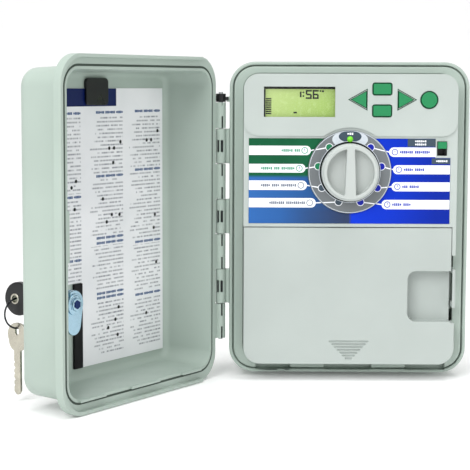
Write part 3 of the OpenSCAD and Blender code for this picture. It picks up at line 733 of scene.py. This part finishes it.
class CONTROLLER_OT_print(bpy.types.Operator):
    """Printed strips, leaders, dots and tags on the label and the dial ring"""

    bl_idname = "controller.print"
    bl_label = "Label print"

    def execute(self, context):
        ink = context.scene.controller_shape.ink
        rise = ink / MM

        def strips(piece):
            for x, low, high, _ in LEFT_PILLS:
                add_bar(piece, STRIP_END, x, low, high)
                square_end(piece, 0.49 * (high - low), True)
            for x, low, high, _, right in RIGHT_PILLS:
                add_bar(piece, x, right, low, high)
                square_end(piece, 0.49 * (high - low), False)

        def leaders(piece):
            for x, low, high, angle in LEFT_PILLS:
                cut, _ = leader_cut((x, (low + high) / 2), angle)
                add_line(piece, (x + 0.05, (low + high) / 2), cut - Vector((0.35, 0)), LEADER_WIDE)
            for x, low, high, angle, _ in RIGHT_PILLS:
                cut, _ = leader_cut((x, (low + high) / 2), angle)
                add_line(piece, (x - 0.05, (low + high) / 2), cut + Vector((0.35, 0)), LEADER_WIDE)

        def ring_leaders(piece):
            for x, low, high, angle, *_ in LEFT_PILLS + RIGHT_PILLS:
                cut, dot = leader_cut((x, (low + high) / 2), angle)
                along = (dot - cut).normalized()
                add_line(piece, cut + along * 0.75, dot - along * 2.7, LEADER_WIDE)

        def dots(radius, angles):
            def draw(piece):
                for angle in angles:
                    add_disc(piece, *polar(DOT_R, angle), radius, sides=32)

            return draw

        def left_words(*rows):
            def draw(piece):
                for i in rows:
                    x, low, high, _ = LEFT_PILLS[i]
                    words = LEFT_WORDS[i]
                    add_words(piece, x - 7.2 - words_width(words), (low + high) / 2, words)
                    add_disc(piece, x - LEFT_ICON, (low + high) / 2, 2.3)

            return draw

        def right_words(piece):
            for i, (x, low, high, _, _) in enumerate(RIGHT_PILLS):
                add_words(piece, x + 7.4, (low + high) / 2, RIGHT_WORDS[i])
                add_disc(piece, x + RIGHT_ICON, (low + high) / 2, 2.2)

        def icon_faces(piece):
            for x, low, high, _ in LEFT_PILLS:
                add_disc(piece, x - LEFT_ICON, (low + high) / 2, 1.75)
            for x, low, high, _, _ in RIGHT_PILLS:
                add_disc(piece, x + RIGHT_ICON, (low + high) / 2, 1.65)

        def icon_hands(piece):
            for x, low, high, _ in LEFT_PILLS[:2]:
                x, z = x - LEFT_ICON, (low + high) / 2
                add_line(piece, (x, z - 0.2), (x, z + 1.3), 0.45)
            for x, low, high, _, _ in RIGHT_PILLS:
                x, z = x + RIGHT_ICON, (low + high) / 2
                add_line(piece, (x, z - 0.1), (x, z + 1.2), 0.45)

        printed("label_strips", FACE_T, ink, "white_ink", strips)
        printed("leaders", FACE_T, ink, "white_ink", leaders)
        printed("ring_leaders", RING_T, ink, "white_ink", ring_leaders)
        printed("left_upper_words", FACE_T + rise, ink, "teal_ink", left_words(0, 1))
        printed("left_lower_words", FACE_T + rise, ink, "grey_ink", left_words(2, 3))
        printed("right_words", FACE_T + rise, ink, "pale_blue_ink", right_words)
        printed("icon_faces", FACE_T + 2 * rise, ink, "white_ink", icon_faces)
        printed("icon_hands", FACE_T + 3 * rise, ink, "blue_ink", icon_hands)

        green, slate, blue = (130, 170), (210, 250), (50, 10, -30, -70)
        ring = (KNOB_EDGE_R, RING_EDGE_R)
        every = green + slate + blue
        printed("dot_outlines", RING_T, ink, "white_ink", dots(OUTLINE_R, every), ring)
        printed("green_dots", RING_T + rise, ink, "green_ink", dots(INK_DOT_R, green), ring)
        printed("slate_dots", RING_T + rise, ink, "slate_ink", dots(INK_DOT_R, slate), ring)
        printed("blue_dots", RING_T + rise, ink, "blue_ink", dots(INK_DOT_R, blue), ring)

        def run_wing(piece):
            add_disc(piece, DIAL[0], 56.4, 12.3, 6.2, 64)

        def run_field(piece):
            add_disc(piece, DIAL[0], 58.5, 7.9, 4.0, 48)

        def run_word(piece):
            add_words(piece, -2.4, 60.4, (3,), 1.5, 1.1, 0.35)

        def round_dial(radius):
            return lambda piece: add_disc(piece, *DIAL, radius, sides=128)

        printed("run_wing", RING_T, ink, "pale_ink", run_wing, (KNOB_EDGE_R, 27.9))
        printed("run_field", RING_T + rise, ink, "slate_ink", run_field, (KNOB_EDGE_R, 28.2))
        printed("run_word", RING_T + 2 * rise, ink, "white_ink", run_word)
        printed("ring_edge", RING_T, ink, "pale_ink", round_dial(RING_EDGE_R), (28.05,))
        printed("knob_line", RING_T, ink, "pale_ink", round_dial(KNOB_EDGE_R), (KNOB_LINE_R,))
        # painted shadow: a black ring round the foot of the knob
        printed("knob_shadow_ring", RING_T, ink, "black_print_and_shade", round_dial(KNOB_LINE_R), (KNOB_SHADOW_R,))

        def tags(piece):
            add_bar(piece, 39.4, 58.7, 51.5, 56.9)
            add_bar(piece, 56.2, 68.9, 39.6, 43.5)

        def tag_words(piece):
            add_words(piece, 44.6, 55.3, (6,), 1.3)
            add_words(piece, 44.6, 53.1, (6,), 1.3)
            add_words(piece, 59.4, 41.6, (6,), 1.3)

        printed("tags", FACE_T, ink, "slate_ink", tags)
        printed("tag_words", FACE_T + rise, ink, "white_ink", tag_words)
        return {"FINISHED"}


class CONTROLLER_OT_display(bpy.types.Operator):
    """Display glass, painted shade at the top and left of its recess, and the segments of its
    figures
    """

    bl_idname = "controller.display"
    bl_label = "Display"

    def execute(self, context):
        ink = context.scene.controller_shape.ink
        keep("lcd_window", "glass")
        keep("lcd_panel", "crystal")
        keep("lcd_holder", "white")
        left, right, low, high = -60.2, -10.9, 71.8, 92.7
        recess_shade_t, segment_t, segment_ink = 13.42, 13.4, 0.4 * ink
        figures = {"1": "bc", "5": "afgcd", "6": "afgcde"}

        # painted shade: dark bars along the top and left of the display's recess, where its walls
        # shade the panel
        def recess_shade(piece):
            add_bar(piece, left - 1.4, right + 1.4, high - 1.7, high + 1.4)
            add_bar(piece, left - 1.4, left + 1.2, low - 1.2, high - 1.8)

        def figure(piece, x, top, segments, wide=4.2, tall=6.2, stroke=1.15):
            middle = top - tall / 2
            bars = {
                "a": (x, x + wide, top - stroke, top),
                "d": (x, x + wide, top - tall, top - tall + stroke),
                "g": (x + 0.6, x + wide - 0.6, middle - stroke / 2, middle + stroke / 2),
                "f": (x, x + stroke, middle, top - stroke),
                "b": (x + wide - stroke, x + wide, middle, top - stroke),
                "e": (x, x + stroke, top - tall + stroke, middle),
                "c": (x + wide - stroke, x + wide, top - tall + stroke, middle),
            }
            for s in segments:
                add_bar(piece, *bars[s])

        def time(piece):
            for x, value in ((-38.3, "1"), (-31.2, "5"), (-26.4, "6")):
                figure(piece, x, 90.4, figures[value])
            for z in (86.2, 88.7):
                add_disc(piece, -32.8, z, 0.65, sides=16)
            add_bar(piece, -21.6, -20.4, 89.2, 90.2)
            add_bar(piece, -20.0, -18.6, 88.9, 90.2)
            add_bar(piece, -39.6, -37.2, 74.2, 75.3)

        def gauge(piece):
            for i in range(8):
                z = 73.6 + i * 1.45
                add_bar(piece, -58.8, -54.9, z, z + 1.0)

        printed("display_recess_shade", recess_shade_t, ink, "black_print_and_shade", recess_shade)
        printed("display_time", segment_t, segment_ink, "segment", time)
        printed("display_gauge", segment_t, segment_ink, "segment", gauge)
        return {"FINISHED"}


class CONTROLLER_OT_controls(bpy.types.Operator):
    """Dial, push buttons, bypass switch and run light"""

    bl_idname = "controller.controls"
    bl_label = "Controls"

    def execute(self, context):
        shape = context.scene.controller_shape
        knob = from_frame("dial_knob", "dial", 0.6 * MM, 4)
        done(knob, "knob", "dial", ["dial_knob"])
        keep("dial_shaft", "knob")
        for which in ("up", "down", "left", "right", "program"):
            button = from_frame("button_" + which, which + "_button", 0.4 * MM)
            done(button, "button", which, ["button_" + which])
        slider = from_frame("bypass_slider", "bypass_thumb", shape.fine_edge)
        done(slider, "button", "bypass", ["bypass_slider"])
        lamp = from_frame("run_led", "run_lamp", 0.1 * MM, 1)
        done(lamp, "lens", "root", ["run_led"])

        # painted shade: dark green rings round the buttons, where the gaps round them fall in shade
        outline = 0.55 * MM
        bar_x, bar_z = 21.4, (91.2, 76.2)
        arrows, arrow_z, arrow_half = ((5.6, -1), (37.6, 1)), 83.9, 7.6

        def ring_left():
            """Leaves only the border of the shape just added."""
            bpy.ops.mesh.inset(thickness=outline)
            bpy.ops.mesh.delete(type="FACE")

        def outlines(piece):
            for z in bar_z:
                add_bar(piece, bar_x - 7.0, bar_x + 7.0, z - 4.5, z + 4.5, 1.9)
                ring_left()
            add_disc(piece, 53.8, 83.8, 6.3, sides=48)
            ring_left()
            for x, side in arrows:
                ends = sorted((x - side * 5.7, x + side * 7.8))
                add_bar(piece, *ends, arrow_z - arrow_half, arrow_z + arrow_half)
                edit = bmesh.from_edit_mesh(piece.data)
                for v in edit.verts:
                    if v.select and (v.co.x - x * MM) * side < 0:
                        v.select_set(False)
                edit.select_flush(False)
                bmesh.update_edit_mesh(piece.data)
                bpy.ops.mesh.merge(type="CENTER")
                bpy.ops.mesh.select_linked()
                ring_left()

        printed("button_outlines", POD_T, shape.ink, "gap_shade_ink", outlines)
        return {"FINISHED"}


class CONTROLLER_OT_cover(bpy.types.Operator):
    """Wiring cover with its pocket and grip ribs"""

    bl_idname = "controller.cover"
    bl_label = "Wiring cover"

    def execute(self, context):
        cover = from_frame("wiring_cover", "wiring_cover_moulding", 0.5 * MM)
        done(cover, "panel", "cover", ["wiring_cover"])
        return {"FINISHED"}


class CONTROLLER_OT_card(bpy.types.Operator):
    """Instruction card in the door with its clip, and a black strip of painted shade beside the
    lock
    """

    bl_idname = "controller.card"
    bl_label = "Instruction card"

    def execute(self, context):
        shape = context.scene.controller_shape
        keep("instruction_card", "card")
        clip = from_frame("card_clip", "card_holder", 0.4 * MM)
        done(clip, "black", "door", ["card_clip"])
        # painted shade: a black strip stands for the deep shade beside the lock
        foam = from_frame("lock_foam", "lock_shadow_strip", 0.4 * MM)
        done(foam, "foam", "door", ["lock_foam"])

        def on_card(name, material, draw):
            piece = new_mesh(name, CARD_T)
            draw(piece)
            raise_print(-shape.ink)
            done(piece, material, "door", on_door=True)

        def banner(piece):
            add_bar(piece, -18.9, 67.4, 79.3, 91.1)

        def headings(piece):
            for left, right, rows in COLUMNS:
                for z in rows:
                    add_words(piece, left, z, (5, 7, 6), 1.7, 1.2, 0.3)

        def bullets(piece):
            for x, z in BULLETS:
                add_disc(piece, x, z, 1.25, sides=20)

        on_card("card_banner", "navy_ink", banner)
        on_card("card_headings", "heading_ink", headings)
        on_card("card_bullets", "black_print_and_shade", bullets)
        return {"FINISHED"}


class CONTROLLER_OT_lock(bpy.types.Operator):
    """Lock barrel, cam and nuts"""

    bl_idname = "controller.lock"
    bl_label = "Lock"

    def execute(self, context):
        shape = context.scene.controller_shape
        rows = (
            ("lock_barrel", "barrel", "zinc", "door", 0.35),
            ("lock_nut", "barrel_nut", "zinc", "door", 0.35),
            ("lock_plug", "plug", "zinc", "lock", 0.2),
            ("lock_cam", "cam", "zinc", "lock", 0.3),
            ("cam_nut", "cam_fixing_nut", "zinc", "lock", 0.3),
        )
        for node, name, material, body, width in rows:
            done(from_frame(node, name, width * MM), material, body, [node])
        # dark end of the stud in the middle of the nut
        bpy.ops.object.select_all(action="DESELECT")
        bpy.ops.mesh.primitive_cylinder_add(
            vertices=6,
            radius=2.9 * MM,
            depth=0.9 * MM,
            location=Vector((LOCK[0], RIM_Y - 10.0, LOCK[1])) * MM,
            rotation=FACING,
        )
        stud = bpy.context.object
        stud.name = "stud_end"
        rounded(stud, 0.2 * MM)
        done(stud, "dark_zinc", "lock", on_door=True)
        # raised ring of the washer under the cam's nut
        place = Vector((LOCK[0], RIM_Y - 12.55, LOCK[1])) * MM
        washer = tube("cam_washer", place, FACING, 6.9, 1.6, (0, 0.9 * MM, 0))
        rounded(washer, 0.3 * MM)
        done(washer, "zinc", "lock", on_door=True)
        return {"FINISHED"}


class CONTROLLER_OT_keys(bpy.types.Operator):
    """Key in the lock, its ring and the spare key"""

    bl_idname = "controller.keys"
    bl_label = "Keys"

    def execute(self, context):
        shape = context.scene.controller_shape
        head = from_frame("key_head", "head_of_key", 0.9 * MM, 4)
        done(head, "black", "key", ["key_head"])
        keep("key_blade", "nickel")
        keep("key_ring", "wire")
        spare = from_frame("spare_key", "second_key", shape.fine_edge)
        done(spare, "nickel", "spare", ["spare_key"])
        # rolled eyelet through the head
        place = Vector((LOCK[0] - 2.9, RIM_Y - 60.6, LOCK[1])) * MM
        eyelet = tube("eyelet", place, (0, -math.pi / 2, 0), 3.5, 1.3, (5.8 * MM, 0, 0))
        rounded(eyelet, 0.4 * MM)
        done(eyelet, "nickel", "key", on_door=True)
        return {"FINISHED"}


class CONTROLLER_OT_inside(bpy.types.Operator):
    """Finishes of the electronics and the wiring parts behind the fascia"""

    bl_idname = "controller.inside"
    bl_label = "Inside parts"

    def execute(self, context):
        finishes = {
            "circuit_board": "board",
            "terminal_board": "board",
            "rotary_switch": "black",
            "tact_switches": "black",
            "bypass_switch": "black",
            "battery_holder": "black",
            "sensor_hole_plug": "black",
            "coin_battery": "steel",
            "terminal_block": "terminal",
            "terminal_screws": "steel",
            "transformer_core": "steel",
            "transformer_coil": "tape",
            "transformer_bracket": "steel",
            "transformer_screws": "steel",
            "ribbon_cable": "ribbon",
        }
        for node, material in finishes.items():
            keep(node, material)
        return {"FINISHED"}


class CONTROLLER_OT_stage(bpy.types.Operator):
    """Floor, soft lights and camera"""

    bl_idname = "controller.stage"
    bl_label = "Stage"

    def execute(self, context):
        scene = context.scene
        bpy.ops.object.select_all(action="DESELECT")
        bpy.ops.mesh.primitive_plane_add(size=6, location=(0, -1.0, FLOOR_Z))
        floor = context.object
        floor.name = "floor_sweep"
        bpy.ops.object.mode_set(mode="EDIT")
        edit = bmesh.from_edit_mesh(floor.data)
        for edge in edit.edges:
            edge.select_set(all(v.co.y > 2.9 for v in edge.verts))
        edit.select_flush(True)
        bmesh.update_edit_mesh(floor.data)
        bpy.ops.mesh.extrude_edges_move(TRANSFORM_OT_translate={"value": (0, 0, 3)})
        bpy.ops.object.mode_set(mode="OBJECT")
        rounded(floor, 1.2, 16)
        white = Finish("studio_white", Roughness=0.8)
        white.paint(white.mix(white.noise(3, 2), (0.93, 0.93, 0.93, 1), (0.95, 0.95, 0.95, 1)))
        white.shader.inputs["Emission Color"].default_value = (1, 1, 1, 1)
        white.shader.inputs["Emission Strength"].default_value = FLOOR_GLOW
        floor.data.materials.append(white.material)
        world = bpy.data.worlds.new("studio")
        world.use_nodes = True
        world.node_tree.nodes["Background"].inputs[0].default_value = (1, 1, 1, 1)
        world.node_tree.nodes["Background"].inputs[1].default_value = WORLD_STRENGTH
        scene.world = world
        scene.view_settings.view_transform = "Standard"
        for name, place, size, power in LIGHTS:
            bpy.ops.object.light_add(type="AREA", location=place)
            lamp = context.object
            lamp.name = name
            lamp.data.size = size
            lamp.data.energy = power
            aim = LIGHTS_AT - Vector(place)
            lamp.rotation_euler = aim.to_track_quat("-Z", "Y").to_euler()
        bpy.ops.object.camera_add()
        camera = context.object
        camera.data.sensor_width = 36
        camera.data.lens = CAMERA_LENS
        camera.matrix_world = (
            Matrix.Translation(CAMERA_PLACE)
            @ Matrix.Rotation(CAMERA_PAN, 4, "Z")
            @ Matrix.Rotation(math.pi / 2 - CAMERA_DOWN, 4, "X")
            @ Matrix.Rotation(CAMERA_ROLL, 4, "Z")
        )
        scene.camera = camera
        return {"FINISHED"}


FLOOR_GLOW = 0.07
WORLD_STRENGTH = 0.45
CAMERA_PLACE = Vector((-69.41, -1110.53, 93.54)) * MM
CAMERA_LENS = 114.97
CAMERA_PAN = 0.010
CAMERA_DOWN = 0.0995
CAMERA_ROLL = 0.0032
# name, place, size and power; all of them look at one spot
LIGHTS_AT = Vector((-0.04, -0.08, 0.0))
LIGHTS = (
    ("key_light", (-0.9, -1.6, 1.1), 1.2, 27),
    ("fill_light", (1.3, -1.5, 0.5), 1.4, 8),
    ("top_light", (0.0, -0.3, 1.6), 1.4, 20),
)

OPERATORS = (
    CONTROLLER_OT_enclosure,
    CONTROLLER_OT_fascia,
    CONTROLLER_OT_print,
    CONTROLLER_OT_display,
    CONTROLLER_OT_controls,
    CONTROLLER_OT_cover,
    CONTROLLER_OT_card,
    CONTROLLER_OT_lock,
    CONTROLLER_OT_keys,
    CONTROLLER_OT_inside,
    CONTROLLER_OT_stage,
)


class CONTROLLER_PT_pieces(bpy.types.Panel):
    """Buttons that build the controller's pieces"""

    bl_label = "Controller"
    bl_idname = "CONTROLLER_PT_pieces"
    bl_space_type = "VIEW_3D"
    bl_region_type = "UI"
    bl_category = "Controller"

    def draw(self, context):
        for group in (context.scene.controller_shape, context.scene.controller_colours):
            for key in group.__annotations__:
                self.layout.prop(group, key)
        for operator in OPERATORS:
            self.layout.operator(operator.bl_idname)


CLASSES = (ControllerShape, ControllerColours) + OPERATORS + (CONTROLLER_PT_pieces,)


def register():
    for cls in CLASSES:
        bpy.utils.register_class(cls)
    bpy.types.Scene.controller_shape = bpy.props.PointerProperty(type=ControllerShape)
    bpy.types.Scene.controller_colours = bpy.props.PointerProperty(type=ControllerColours)


def unregister():
    del bpy.types.Scene.controller_colours
    del bpy.types.Scene.controller_shape
    for cls in reversed(CLASSES):
        bpy.utils.unregister_class(cls)


def main():
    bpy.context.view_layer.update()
    register()
    for operator in OPERATORS:
        section, name = operator.bl_idname.split(".")
        getattr(getattr(bpy.ops, section), name)()


if __name__ == "__main__":
    main()
